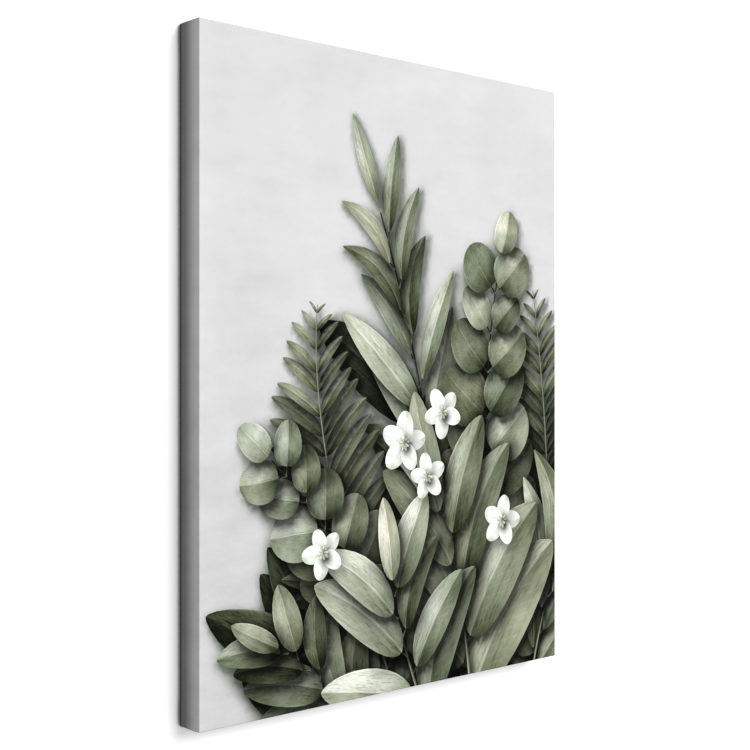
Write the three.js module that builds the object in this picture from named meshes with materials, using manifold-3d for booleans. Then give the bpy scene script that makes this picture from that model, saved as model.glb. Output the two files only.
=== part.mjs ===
// A picture canvas stretched on a deep wooden frame, to hang on a wall: 600 x 800 mm, 40 mm deep.
//
// One sheet of canvas is wrapped round four mitred stretcher bars, folded over at the back and
// stapled there. Two wedges in each inner corner keep the sheet taut, and a saw-tooth hanger nailed
// to the top bar hooks over a nail in the wall.
//
// Millimetres, +Z up, the picture faces -Y and +X is to its right as one looks at it. The origin is
// the middle notch of the hanger, where the wall nail bears, and the wall is the plane y = 0.

import * as THREE from 'three';
import { RoundedBoxGeometry } from 'three/addons/geometries/RoundedBoxGeometry.js';
import { mergeVertices } from 'three/addons/utils/BufferGeometryUtils.js';
import Module from 'manifold-3d';

// ---------------------------------------------------------------- driving dimensions

const WIDTH = 600; // outside, left to right
const HEIGHT = 800; // outside, bottom to top
const DEPTH = 40; // from the picture face to the back of the folded canvas

const CANVAS = 0.6; // thickness of the primed canvas
const FOLD_RADIUS = 1.6; // outer radius of its folds
const FLAP = 27; // how far it is turned over onto the back of the bars
const TUCK = 1.2; // extra height of the layers tucked in at each corner
const SEAT = 0.3; // gap between pieces that lie against each other

const BAR_WIDTH = 45; // of a stretcher bar, across the frame
const LIP_WIDTH = 4.5; // the raised outer edge, the only wood that touches the picture's back
const LIP_DROP = 3; // from the lip down to the start of the bar's sloping face
const BAR_SLOPE = 1.5; // further fall of that face towards the inside
const CHAMFER = 1; // on the long edges and the outer corners of the bars

const TONGUE = 5; // thickness of the tongue that joins two bars
const KEY = 4.5; // thickness of a corner wedge

const STAPLE_CROWN = 11; // length of the bridge of a staple
const STAPLE_LEG = 8;
const STAPLE_WIRE = { wide: 1.2, thick: 0.5 };
const STAPLE_INSET = 14; // of a staple from the outer edge of the frame
const STAPLES = { across: 7, up: 10 }; // on a short and on a long side

const HANGER = { long: 62, wide: 10, thick: 0.9, end: 12, rise: 5 };
const HANGER_DROP = 39; // from the top of the frame to the notch of the hanger
const TOOTH = { pitch: 4, deep: 2.2, count: 7 };
const NAIL = { head: 2.3, headHeight: 0.6, shank: 0.8, long: 12, sides: 12 };

// ---------------------------------------------------------------- levels from the wall forwards

const HANGER_HEIGHT = 3; // how far the hanger stands off the wood
const BAR_BACK = -HANGER_HEIGHT;
const CANVAS_BACK = BAR_BACK + SEAT + CANVAS;
const CANVAS_FRONT = CANVAS_BACK - DEPTH;
const BAR_FRONT = CANVAS_FRONT + CANVAS + SEAT;
const TUCK_BACK = CANVAS_BACK + TUCK;
const MID_DEPTH = (BAR_FRONT + BAR_BACK) / 2;
const HANGER_LEVEL = HEIGHT / 2 - HANGER_DROP; // height of the notch above the frame's centre

const BAR_INSET = CANVAS + SEAT; // of the bars from the outside of the canvas
const INNER_X = WIDTH / 2 - BAR_INSET - BAR_WIDTH; // half the opening between the bars
const INNER_Z = HEIGHT / 2 - BAR_INSET - BAR_WIDTH;
const CORNERS = [
  { name: 'top_left', x: -1, z: 1 },
  { name: 'top_right', x: 1, z: 1 },
  { name: 'bottom_right', x: 1, z: -1 },
  { name: 'bottom_left', x: -1, z: -1 },
];

// ---------------------------------------------------------------- materials

const MATERIALS = {
  canvas: new THREE.MeshStandardMaterial({ color: 0xd9d9d6, roughness: 0.85 }),
  pine: new THREE.MeshStandardMaterial({ color: 0xd9b98a, roughness: 0.7 }),
  beech: new THREE.MeshStandardMaterial({ color: 0xc9a071, roughness: 0.6 }),
  steel: new THREE.MeshStandardMaterial({ color: 0xb9bcc0, roughness: 0.35, metalness: 1 }),
};

// ---------------------------------------------------------------- joining and cutting

const wasm = await Module();
wasm.setup();

/** A closed geometry as a solid that can be joined and cut. */
function solid(geometry) {
  const bare = geometry.clone();
  bare.deleteAttribute('normal');
  bare.deleteAttribute('uv');
  const merged = mergeVertices(bare, 1e-4);
  return new wasm.Manifold(
    new wasm.Mesh({
      numProp: 3,
      vertProperties: new Float32Array(merged.attributes.position.array),
      triVerts: new Uint32Array(merged.index.array),
    }),
  );
}

/** A named mesh of a solid. */
function piece(name, body, material) {
  const { vertProperties, triVerts } = body.getMesh();
  const geometry = new THREE.BufferGeometry();
  geometry.setAttribute('position', new THREE.BufferAttribute(vertProperties, 3));
  geometry.setIndex(new THREE.BufferAttribute(triVerts, 1));
  geometry.computeVertexNormals();
  const mesh = new THREE.Mesh(geometry, material);
  mesh.name = name;
  return mesh;
}

/** A prism of an outline in x and z, from the level yLow to the level yHigh. */
function plate(outline, yLow, yHigh) {
  const shape = new THREE.Shape(outline.map(([x, z]) => new THREE.Vector2(x, z)));
  const geometry = new THREE.ExtrudeGeometry(shape, { depth: yHigh - yLow, bevelEnabled: false });
  return solid(geometry.rotateX(Math.PI / 2).translate(0, yHigh, 0));
}

function block(xLow, xHigh, yLow, yHigh, zLow, zHigh) {
  const geometry = new THREE.BoxGeometry(xHigh - xLow, yHigh - yLow, zHigh - zLow);
  geometry.translate((xLow + xHigh) / 2, (yLow + yHigh) / 2, (zLow + zHigh) / 2);
  return solid(geometry);
}

function roundedBlock(margin, radius) {
  const geometry = new RoundedBoxGeometry(
    WIDTH - 2 * margin, DEPTH - 2 * margin, HEIGHT - 2 * margin, 3, radius,
  );
  return solid(geometry.translate(0, (CANVAS_FRONT + CANVAS_BACK) / 2, 0));
}

/** A round pin along y, ending at the level yHigh. */
function pin(radius, yLow, yHigh, x, z) {
  const geometry = new THREE.CylinderGeometry(radius, radius, yHigh - yLow, NAIL.sides);
  return solid(geometry.translate(x, (yLow + yHigh) / 2, z));
}

// ---------------------------------------------------------------- staples

/** Where every staple lies: its middle, its turn about y and the level that it presses on. */
function staplePlaces() {
  const places = [];
  const sideways = WIDTH / 2 - STAPLE_INSET;
  const upwards = HEIGHT / 2 - STAPLE_INSET;
  const row = (side, count, reach, place) => {
    for (let i = 0; i < count; i++) {
      const along = reach * ((2 * i) / (count - 1) - 1);
      const slant = 0.09 * Math.sin(2.4 * i + side.length); // no staple is quite straight
      places.push({ name: `staple_${side}_${i + 1}`, level: CANVAS_BACK, ...place(along, slant) });
    }
  };
  const reachAcross = WIDTH / 2 - 62;
  const reachUp = HEIGHT / 2 - 62;
  row('top', STAPLES.across, reachAcross, (a, s) => ({ x: a, z: upwards, turn: s }));
  row('bottom', STAPLES.across, reachAcross, (a, s) => ({ x: a, z: -upwards, turn: s }));
  row('left', STAPLES.up, reachUp, (a, s) => ({ x: -sideways, z: a, turn: Math.PI / 2 + s }));
  row('right', STAPLES.up, reachUp, (a, s) => ({ x: sideways, z: a, turn: Math.PI / 2 + s }));
  for (const c of CORNERS) {
    const corner = (n, inX, inZ, turn) => places.push({
      name: `staple_corner_${c.name}_${n}`,
      level: TUCK_BACK,
      x: c.x * (WIDTH / 2 - inX),
      z: c.z * (HEIGHT / 2 - inZ),
      turn: c.x * c.z * turn,
    });
    corner(1, 11, 9, 0.15);
    corner(2, 15, 20, 0.6);
  }
  return places;
}

/** A staple, or with grow above 0 the room that its legs need. */
function stapleBody(place, grow = 0) {
  const { wide, thick } = STAPLE_WIRE;
  const half = STAPLE_CROWN / 2;
  const top = place.level + thick;
  const leg = (x) => block(
    x - thick / 2 - grow, x + thick / 2 + grow,
    place.level - STAPLE_LEG - grow, top,
    -wide / 2 - grow, wide / 2 + grow,
  );
  const legs = leg(thick / 2 - half).add(leg(half - thick / 2));
  const body = grow > 0
    ? legs
    : legs.add(block(-half, half, place.level, top, -wide / 2, wide / 2));
  return body.rotate([0, (place.turn * 180) / Math.PI, 0]).translate([place.x, 0, place.z]);
}

// ---------------------------------------------------------------- the hanger and its nails

const nailX = HANGER.long / 2 - HANGER.end / 2;
const nailZ = HANGER.wide / 2 - TOOTH.deep; // height of the nails above the notch

/** The bent strip: its ends lie on the wood and its toothed middle stands off it. */
function hangerBody() {
  const { long, wide, thick, end, rise } = HANGER;
  const half = long / 2;
  const low = BAR_BACK;
  const outline = [
    [-half, low], [-half + end, low], [-half + end + rise, -thick],
    [half - end - rise, -thick], [half - end, low], [half, low],
    [half, low + thick], [half - end, low + thick], [half - end - rise, 0],
    [-half + end + rise, 0], [-half + end, low + thick], [-half, low + thick],
  ];
  const shape = new THREE.Shape(outline.map(([x, y]) => new THREE.Vector2(x, y)));
  const strip = new THREE.ExtrudeGeometry(shape, { depth: wide, bevelEnabled: false });
  let body = solid(strip.translate(0, 0, -TOOTH.deep));
  for (let i = 0; i < TOOTH.count; i++) {
    const x = TOOTH.pitch * (i - (TOOTH.count - 1) / 2);
    const gap = TOOTH.pitch / 2;
    const notch = [
      [x - gap, -TOOTH.deep], [x - gap, -wide], [x + gap, -wide], [x + gap, -TOOTH.deep], [x, 0],
    ];
    body = body.subtract(plate(notch, -thick - SEAT, SEAT));
  }
  for (const side of [-1, 1]) {
    body = body.subtract(pin(NAIL.shank + SEAT, low - SEAT, SEAT, side * nailX, nailZ));
  }
  return body.translate([0, 0, HANGER_LEVEL]);
}

function nailBody(side) {
  const seat = BAR_BACK + HANGER.thick;
  const shank = pin(NAIL.shank, seat - NAIL.long, seat + NAIL.headHeight / 2, side * nailX, nailZ);
  const head = pin(NAIL.head, seat, seat + NAIL.headHeight, side * nailX, nailZ);
  return shank.add(head).translate([0, 0, HANGER_LEVEL]);
}

const nailRoom = [-1, 1].map((side) => {
  const radius = NAIL.shank + SEAT;
  const depth = BAR_BACK + HANGER.thick - NAIL.long - SEAT;
  return pin(radius, depth, SEAT, side * nailX, nailZ + HANGER_LEVEL);
});

// ---------------------------------------------------------------- wedges and the joints they spread

/** Points given from an inner corner, along the top or bottom bar and along the side bar. */
function atCorner(corner, points) {
  return points.map(([p, q]) => [corner.x * (INNER_X - p), corner.z * (INNER_Z - q)]);
}

const mirrored = (points) => points.map(([p, q]) => [q, p]);

const KEY_OUTLINE = [[-9.5, -10], [-6, -12], [15.5, -1], [7.5, 7]];
const SLOT_OUTLINE = [[-10.2, -10.2], [-6.6, -12.7], [20, 0.9], [10, 10]];

function keyBody(corner, outline) {
  return plate(atCorner(corner, outline), MID_DEPTH - KEY / 2, MID_DEPTH + KEY / 2);
}

function slotRoom(corner, outline) {
  const half = KEY / 2 + SEAT;
  return plate(atCorner(corner, outline), MID_DEPTH - half, MID_DEPTH + half);
}

/** The tongue of a top or bottom bar, which reaches through the mitre into the side bar. */
function tongueBody(corner, grow = 0) {
  const far = BAR_WIDTH - 6;
  const outline = [
    [-far - grow, -far - grow], [-12 + grow, -far - grow],
    [-12 + grow, -16 + grow], [-far - grow, -16 + grow],
  ];
  return plate(atCorner(corner, outline), MID_DEPTH - TONGUE / 2 - grow, MID_DEPTH + TONGUE / 2 + grow);
}

// ---------------------------------------------------------------- stretcher bars

/** A mitred bar of the given outer length, along x, with its outer face at z = 0. */
function plainBar(length) {
  const shape = new THREE.Shape();
  shape.moveTo(0, BAR_FRONT + CHAMFER);
  shape.absarc(CHAMFER, BAR_FRONT + CHAMFER, CHAMFER, Math.PI, 1.5 * Math.PI);
  shape.lineTo(LIP_WIDTH, BAR_FRONT);
  shape.lineTo(LIP_WIDTH + LIP_DROP, BAR_FRONT + LIP_DROP);
  shape.lineTo(BAR_WIDTH - CHAMFER, BAR_FRONT + LIP_DROP + BAR_SLOPE);
  shape.lineTo(BAR_WIDTH, BAR_FRONT + LIP_DROP + BAR_SLOPE + CHAMFER);
  shape.lineTo(BAR_WIDTH, BAR_BACK - CHAMFER);
  shape.lineTo(BAR_WIDTH - CHAMFER, BAR_BACK);
  shape.lineTo(CHAMFER, BAR_BACK);
  shape.lineTo(0, BAR_BACK - CHAMFER);
  shape.closePath();
  const beam = new THREE.ExtrudeGeometry(shape, { depth: length, bevelEnabled: false, curveSegments: 4 });
  beam.rotateY(-Math.PI / 2).translate(length / 2, 0, 0);

  const half = length / 2;
  const gap = SEAT / Math.SQRT2; // half of the mitre's gap, measured along the bar
  const cut = 2 * BAR_WIDTH;
  const mitre = [
    [-half + gap + CHAMFER, 0], [half - gap - CHAMFER, 0], [half - gap - CHAMFER, CHAMFER],
    [half - gap - cut, cut], [-half + gap + cut, cut], [-half + gap + CHAMFER, CHAMFER],
  ];
  return solid(beam).intersect(plate(mitre, CANVAS_FRONT, 0));
}

/** The four bars: each is turned to its side of the frame and set in from the canvas. */
function barBodies() {
  const across = plainBar(WIDTH - 2 * BAR_INSET);
  const up = plainBar(HEIGHT - 2 * BAR_INSET);
  const toEdgeX = WIDTH / 2 - BAR_INSET;
  const toEdgeZ = HEIGHT / 2 - BAR_INSET;
  return {
    bar_bottom: across.translate([0, 0, -toEdgeZ]),
    bar_top: across.rotate([0, 180, 0]).translate([0, 0, toEdgeZ]),
    bar_left: up.rotate([0, 90, 0]).translate([-toEdgeX, 0, 0]),
    bar_right: up.rotate([0, -90, 0]).translate([toEdgeX, 0, 0]),
  };
}

function joinedBars(places) {
  const bars = barBodies();
  for (const corner of CORNERS) {
    const rail = corner.z > 0 ? 'bar_top' : 'bar_bottom';
    const stile = corner.x > 0 ? 'bar_right' : 'bar_left';
    bars[rail] = bars[rail].add(tongueBody(corner)).subtract(slotRoom(corner, SLOT_OUTLINE));
    bars[stile] = bars[stile]
      .subtract(tongueBody(corner, SEAT))
      .subtract(slotRoom(corner, mirrored(SLOT_OUTLINE)));
  }
  const rooms = places.map((place) => stapleBody(place, SEAT)).concat(nailRoom);
  for (const name of Object.keys(bars)) {
    for (const room of rooms) bars[name] = bars[name].subtract(room);
  }
  return bars;
}

// ---------------------------------------------------------------- the canvas

/** The layers tucked in at a corner, which stand a little higher than the rest of the flap. */
function tuckBody(corner) {
  const edge = FOLD_RADIUS + 0.4;
  const outline = [[edge, edge], [FLAP + 6, edge], [FLAP, FLAP], [edge, FLAP]];
  const placed = outline.map(([inX, inZ]) => [
    corner.x * (WIDTH / 2 - inX), corner.z * (HEIGHT / 2 - inZ),
  ]);
  return plate(placed, CANVAS_BACK - CANVAS, TUCK_BACK);
}

function canvasBody(places) {
  let body = roundedBlock(0, FOLD_RADIUS).subtract(roundedBlock(CANVAS, FOLD_RADIUS - CANVAS));
  const halfX = WIDTH / 2 - FLAP;
  const halfZ = HEIGHT / 2 - FLAP;
  body = body.subtract(block(-halfX, halfX, BAR_BACK - SEAT, SEAT, -halfZ, halfZ));
  for (const corner of CORNERS) body = body.add(tuckBody(corner));
  for (const place of places) body = body.subtract(stapleBody(place, SEAT));
  return body;
}

// ---------------------------------------------------------------- assembly

const frame = new THREE.Group();
const places = staplePlaces();

frame.add(piece('canvas', canvasBody(places), MATERIALS.canvas));
for (const [name, body] of Object.entries(joinedBars(places))) {
  frame.add(piece(name, body, MATERIALS.pine));
}
for (const corner of CORNERS) {
  frame.add(piece(`key_${corner.name}_across`, keyBody(corner, KEY_OUTLINE), MATERIALS.beech));
  frame.add(piece(`key_${corner.name}_up`, keyBody(corner, mirrored(KEY_OUTLINE)), MATERIALS.beech));
}
for (const place of places) frame.add(piece(place.name, stapleBody(place), MATERIALS.steel));
frame.add(piece('hanger', hangerBody(), MATERIALS.steel));
frame.add(piece('hanger_nail_left', nailBody(-1), MATERIALS.steel));
frame.add(piece('hanger_nail_right', nailBody(1), MATERIALS.steel));

// The frame is drawn about its centre, and hangs from the notch.
frame.position.z = -HANGER_LEVEL;

const part = new THREE.Group();
part.add(frame);

export default part;
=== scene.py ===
# %% [markdown]
# # A stretched picture canvas
#
# The object is a sheet of printed cotton, pulled round a deep pine frame, folded at the corners and
# stapled at the back. Its wood and metal come from the CAD frame and only need good finishes. The
# cloth is made here, because its folds, its thin edge and the printed picture are the looks of the
# whole object. The picture could be an image on a plane. Here it is drawn as geometry and shader
# maths, so it stays sharp at any distance and runs round the folds as one piece.

# %% Load the frame
import math
import random

import bmesh
import bpy
import numpy as np
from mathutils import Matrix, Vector, geometry


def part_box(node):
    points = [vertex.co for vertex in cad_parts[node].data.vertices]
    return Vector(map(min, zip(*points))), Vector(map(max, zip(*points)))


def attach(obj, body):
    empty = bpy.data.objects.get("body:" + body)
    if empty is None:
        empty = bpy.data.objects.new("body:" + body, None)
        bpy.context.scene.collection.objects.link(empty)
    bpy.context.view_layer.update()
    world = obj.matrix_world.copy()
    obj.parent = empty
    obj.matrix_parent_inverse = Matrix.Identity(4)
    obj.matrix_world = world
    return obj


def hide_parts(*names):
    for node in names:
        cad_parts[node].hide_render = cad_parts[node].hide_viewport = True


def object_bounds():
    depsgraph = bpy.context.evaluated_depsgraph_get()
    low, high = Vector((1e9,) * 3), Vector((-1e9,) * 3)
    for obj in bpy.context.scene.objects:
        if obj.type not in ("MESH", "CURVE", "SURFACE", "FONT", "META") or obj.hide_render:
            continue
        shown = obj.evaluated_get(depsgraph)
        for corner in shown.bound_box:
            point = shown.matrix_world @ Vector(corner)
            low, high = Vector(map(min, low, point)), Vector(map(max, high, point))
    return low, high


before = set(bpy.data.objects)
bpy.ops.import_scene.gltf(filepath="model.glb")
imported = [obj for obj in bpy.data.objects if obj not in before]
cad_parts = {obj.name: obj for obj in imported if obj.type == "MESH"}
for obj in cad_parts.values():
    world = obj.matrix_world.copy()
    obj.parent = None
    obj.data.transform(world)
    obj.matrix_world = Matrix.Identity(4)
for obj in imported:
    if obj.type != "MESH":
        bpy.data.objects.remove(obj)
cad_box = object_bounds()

print("loaded", len(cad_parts), "nodes, box", [tuple(round(v, 4) for v in c) for c in cad_box])

# %% [markdown]
# ## Sizes
#
# The canvas node's box gives the outside of the frame. The cloth's thickness, folds and flap are
# numbers here. Everything on the cloth is laid out on the flat sheet first, before it is folded: `a`
# runs to the right and `b` up, in metres from the middle of the picture.

# %% Sizes of the canvas
box_low, box_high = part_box("canvas")
HALF = np.array([(box_high.x - box_low.x) / 2, (box_high.z - box_low.z) / 2])
MIDDLE_Z = (box_low.z + box_high.z) / 2
FACE_Y = box_low.y
DEPTH = 0.040  # from the picture to the back of the turned-over cloth
CLOTH = 0.0006  # thickness
FOLD = 0.0016  # outer radius of the long folds round the face
BACK_FOLD = 0.0008  # and of those at the back, which the staples pull tight
CORNER = 0.0009  # outer radius of the corner edges, from the face to the back
FLAP = 0.027  # width of the cloth on the back
print("half sizes", HALF, "face at", round(FACE_Y, 4))

# %% [markdown]
# ## Camera
#
# A long lens, almost level with the middle of the picture, well to its left. The camera could be
# tilted to centre the picture, but a level one keeps the upright edges parallel. It stands a few
# millimetres above the middle, and a very small shift of the lens makes up for that.

# %% Camera
YAW = 0.71700  # turned this far to the right of straight ahead
CAMERA_BACK, CAMERA_ASIDE, CAMERA_UP = 1.6473, -0.02978, 0.00594
forward = Vector((math.sin(YAW), math.cos(YAW), 0))
aside = Vector((math.cos(YAW), -math.sin(YAW), 0))
camera_data = bpy.data.cameras.new("camera")
camera_data.lens = 62.36
camera_data.shift_y = -0.00703
camera = bpy.data.objects.new("camera", camera_data)
bpy.context.scene.collection.objects.link(camera)
middle = Vector((0, FACE_Y, MIDDLE_Z + CAMERA_UP))
camera.location = middle - forward * CAMERA_BACK + aside * CAMERA_ASIDE
camera.rotation_euler = (math.pi / 2, 0, -YAW)
bpy.context.scene.camera = camera
print("camera at", tuple(round(v, 3) for v in camera.location))

# %% [markdown]
# ## Writing shaders as arithmetic
#
# A printed leaf needs dozens of maths nodes. They could be added and linked one by one, but a
# pattern is then hard to read. `Field` wraps one output socket, so that a pattern is written as
# ordinary sums and products, and the nodes and links are made on the way.

# %% Fields: sums and products that make nodes
def operator(operation, swapped=False):
    """A method that makes one maths node; swapped puts the field after the other value."""

    def method(field, *others):
        values = (*others, field) if swapped else (field, *others)
        return field.math(operation, *values)

    return method


class Field:
    """A value or a colour that changes over a surface."""

    def __init__(self, tree, socket):
        self.tree, self.socket = tree, socket

    @staticmethod
    def plug(tree, socket, value):
        if isinstance(value, Field):
            tree.links.new(value.socket, socket)
        else:
            socket.default_value = value

    def math(self, operation, *values):
        made = self.tree.nodes.new("ShaderNodeMath")
        made.operation = operation
        for socket, value in zip(made.inputs, values):
            self.plug(self.tree, socket, value)
        return Field(self.tree, made.outputs[0])

    __add__ = operator("ADD")
    __radd__ = operator("ADD", swapped=True)
    __sub__ = operator("SUBTRACT")
    __rsub__ = operator("SUBTRACT", swapped=True)
    __mul__ = operator("MULTIPLY")
    __rmul__ = operator("MULTIPLY", swapped=True)
    __truediv__ = operator("DIVIDE")
    __pow__ = operator("POWER")
    __abs__ = operator("ABSOLUTE")
    sine = operator("SINE")
    fraction = operator("FRACT")
    at_least = operator("MAXIMUM")
    at_most = operator("MINIMUM")

    def smooth(self, start, end):
        """0 at start and 1 at end, with a soft step between them."""
        made = self.tree.nodes.new("ShaderNodeMapRange")
        made.interpolation_type = "SMOOTHSTEP"
        for name, value in (("Value", self), ("From Min", start), ("From Max", end)):
            self.plug(self.tree, made.inputs[name], value)
        return Field(self.tree, made.outputs["Result"])


print("a field can", ", ".join(name for name in vars(Field) if not name.startswith("__")))

# %% Trees: short names for nodes
class Tree:
    """A node tree with short names for the nodes that the finishes here use."""

    def __init__(self, tree):
        self.tree = tree

    def node(self, kind, output=0, settings=None, **inputs):
        made = self.tree.nodes.new(kind)
        for name, value in (settings or {}).items():
            setattr(made, name, value)
        for name, value in inputs.items():
            Field.plug(self.tree, made.inputs[name.replace("_", " ")], value)
        return Field(self.tree, made.outputs[output])

    def place(self):
        return self.node("ShaderNodeTexCoord", "Object")

    def attribute(self, name, output="Vector"):
        return self.node("ShaderNodeAttribute", output, {"attribute_name": name})

    def split(self, vector):
        made = self.tree.nodes.new("ShaderNodeSeparateXYZ")
        Field.plug(self.tree, made.inputs[0], vector)
        return [Field(self.tree, socket) for socket in made.outputs]

    def vector(self, x, y, z=0.0):
        return self.node("ShaderNodeCombineXYZ", X=x, Y=y, Z=z)

    def noise(self, vector, scale, detail=3.0, rough=0.5):
        return self.node("ShaderNodeTexNoise", Vector=vector, Scale=scale, Detail=detail, Roughness=rough)

    def stretch(self, vector, scale, turn=(0, 0, 0)):
        made = self.tree.nodes.new("ShaderNodeMapping")
        Field.plug(self.tree, made.inputs["Vector"], vector)
        made.inputs["Scale"].default_value = scale
        made.inputs["Rotation"].default_value = turn
        return Field(self.tree, made.outputs[0])

    def mix(self, factor, first, second, blend="MIX"):
        """A mix of two colours, each a field or three numbers."""
        made = self.tree.nodes.new("ShaderNodeMix")
        made.data_type, made.blend_type = "RGBA", blend
        colours = [value if isinstance(value, Field) else (*value, 1) for value in (first, second)]
        for i, value in zip((0, 6, 7), (factor, *colours)):  # the colour sockets among all its kinds
            Field.plug(self.tree, made.inputs[i], value)
        return Field(self.tree, made.outputs[2])

    def ramp(self, value, stops):
        made = self.tree.nodes.new("ShaderNodeValToRGB")
        points = made.color_ramp.elements
        while len(points) < len(stops):
            points.new(1)
        for point, (at, colour) in zip(points, stops):
            point.position, point.color = at, (*colour, 1)
        Field.plug(self.tree, made.inputs[0], value)
        return Field(self.tree, made.outputs[0])

    def bump(self, height, distance, strength):
        return self.node("ShaderNodeBump", "Normal", Height=height, Distance=distance, Strength=strength)


print("a tree can", ", ".join(name for name in vars(Tree) if not name.startswith("__")))

# %% Materials and node groups
class Finish(Tree):
    """A new material; its Principled shader is reached through `set`."""

    def __init__(self, name):
        self.material = bpy.data.materials.new(name)
        self.material.use_nodes = True
        super().__init__(self.material.node_tree)
        self.shader = self.tree.nodes["Principled BSDF"]

    def set(self, **inputs):
        for name, value in inputs.items():
            Field.plug(self.tree, self.shader.inputs[name.replace("_", " ")], value)
        return self.material

    def use(self, group, outputs, **inputs):
        """Place a node group, fill its inputs and give back the named outputs."""
        made = self.tree.nodes.new("ShaderNodeGroup")
        made.node_tree = group
        for name, value in inputs.items():
            Field.plug(self.tree, made.inputs[name.replace("_", " ")], value)
        return [Field(self.tree, made.outputs[name]) for name in outputs]


def new_group(name, inputs, outputs):
    """A shader node group and its inputs: each socket is a name, a kind and a default."""
    group = bpy.data.node_groups.new(name, "ShaderNodeTree")
    kinds = {"value": "NodeSocketFloat", "colour": "NodeSocketColor", "vector": "NodeSocketVector"}
    for socket_name, kind, default in inputs:
        socket = group.interface.new_socket(socket_name, in_out="INPUT", socket_type=kinds[kind])
        if default is not None:
            socket.default_value = default
    for socket_name, kind in outputs:
        group.interface.new_socket(socket_name, in_out="OUTPUT", socket_type=kinds[kind])
    entry = group.nodes.new("NodeGroupInput")
    return Tree(group), [Field(group, socket) for socket in entry.outputs[: len(inputs)]]


def close_group(tree, **outputs):
    """Link the group's outputs and give back the finished group."""
    end = tree.tree.nodes.new("NodeGroupOutput")
    for name, value in outputs.items():
        Field.plug(tree.tree, end.inputs[name], value)
    print(tree.tree.name, "has", len(tree.tree.nodes), "nodes")
    return tree.tree


print("a finish is a", Finish.__base__.__name__.lower(), "with a shader at its end")

# %% [markdown]
# ## The cloth's surface
#
# All the printed parts share one matt cotton surface: a plain weave of slightly uneven threads, and a
# soft coat of primer that fills it a little. A wave texture could draw threads, but not the way they
# pass over and under each other, so the weave is the product of two sines. It follows the cloth's own
# UV map, which is the flat sheet at half size, so it turns with the folds.

# %% Woven surface shared by the cloth's finishes
UV_SPAN = 2.0  # metres of cloth across the whole UV square
THREAD = 0.00068  # from one thread to the next
THREAD_HEIGHT = 0.00014

weave, (colour_in, relief_in) = new_group(
    "woven_cloth",
    [("Colour", "colour", (0.8, 0.8, 0.8, 1)), ("Relief", "value", 1.0)],
    [("Colour", "colour"), ("Roughness", "value"), ("Normal", "vector")],
)
flat = weave.node("ShaderNodeUVMap", "UV", {"uv_map": "cloth"})
slub = weave.noise(weave.stretch(flat, (UV_SPAN, UV_SPAN, 1)), 160.0, 2.0)
u, v, _ = weave.split(flat)
turns = UV_SPAN * math.pi / THREAD
warp = (u * turns + slub * 0.8).sine()
weft = (v * turns + slub * 0.8).sine()
over = warp * weft  # plus where the warp lies on top and minus where the weft does
threads = (abs(warp) + abs(weft)) * 0.3 + over * 0.4
lumps = weave.noise(weave.stretch(flat, (UV_SPAN, UV_SPAN, 1)), 420.0, 2.0)
relief = (threads + lumps * 0.8) * relief_in
woven_cloth = close_group(
    weave,
    Colour=weave.mix((threads * 0.09 + lumps * 0.04) * relief_in, colour_in, (0.0, 0.0, 0.0)),
    Roughness=0.74 + lumps * 0.16,
    Normal=weave.bump(relief, THREAD_HEIGHT, 0.7),
)

# %% [markdown]
# On the sides the print is darkened by painted shade towards the wall, with faint streaks, and a
# painted contact shadow, a thin dark line, closes it at the back edge. A lamp could shade the sides,
# but here the shade is painted into the colour, in one group that every printed finish passes its
# colour through.

# %% Painted shade on the sides
FOLD_EDGE = (0.0001, 0.0013)  # the back's own tone comes in over this distance from the frame's side

wrap, (colour_in, light_in) = new_group(
    "painted_side_shade",
    [("Colour", "colour", (0.8, 0.8, 0.8, 1)), ("Light", "value", 1.0)],
    [("Colour", "colour")],
)
x, y, z = wrap.split(wrap.place())
toward_face = ((FACE_Y + DEPTH) - y) / DEPTH  # 0 at the back edge, 1 on the face
streaks = wrap.noise(wrap.vector(y * 260.0, z * 3.0, x * 3.0), 1.0, 3.0)
# painted shade: the sides darken towards the wall, then step up to full tone on the face's rounded edge
side_shade = 0.235 + toward_face.smooth(0.19, 0.88) * 0.520 + toward_face.smooth(0.965, 0.999) * 0.245
# painted contact shadow: a thin dark line along the back edge, next to the wall
line = 0.30 + toward_face.smooth(0.03, 0.15) * 0.70
streaked = 1.0 + (streaks - 0.5) * 0.30 * toward_face.smooth(0.99, 0.9)
clear_of_side = (HALF[0] - abs(x)).smooth(*FOLD_EDGE) * (HALF[1] - abs(z - MIDDLE_Z)).smooth(*FOLD_EDGE)
turned_over = clear_of_side * toward_face.smooth(0.2, 0.1)  # 1 on the strip of print at the back
dark = side_shade * line
# on the strip at the back the painted shade gives way to an even half tone; streaks and the picture's
# drawn shadows darken it too
shade = (dark + turned_over * (0.5 - dark)) * streaked * light_in
shaded = wrap.mix(1.0, colour_in, wrap.vector(shade, shade, shade), "MULTIPLY")
painted_side_shade = close_group(wrap, Colour=shaded)

# %% [markdown]
# ## The print's inks
#
# A print could be one image, but an image blurs close up. Here each kind of shape has its own ink,
# and every corner of the mesh carries the few values that the ink needs. The ground is a pale, mottled
# plaster grey. A leaf knows where a point lies in its own blade, from three corner attributes: `leaf`
# holds the place along and across the blade and the bend of its rib, `form` holds the blade's half
# width, the roundness of its outline and its tone, and `tilt` tells which half faces the light. From
# these the shader draws the rib, the veins, the pale rim and the light on each half.

# %% Ink on woven cloth
WOVEN = ["Colour", "Roughness", "Normal"]  # what the woven_cloth group gives


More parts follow.
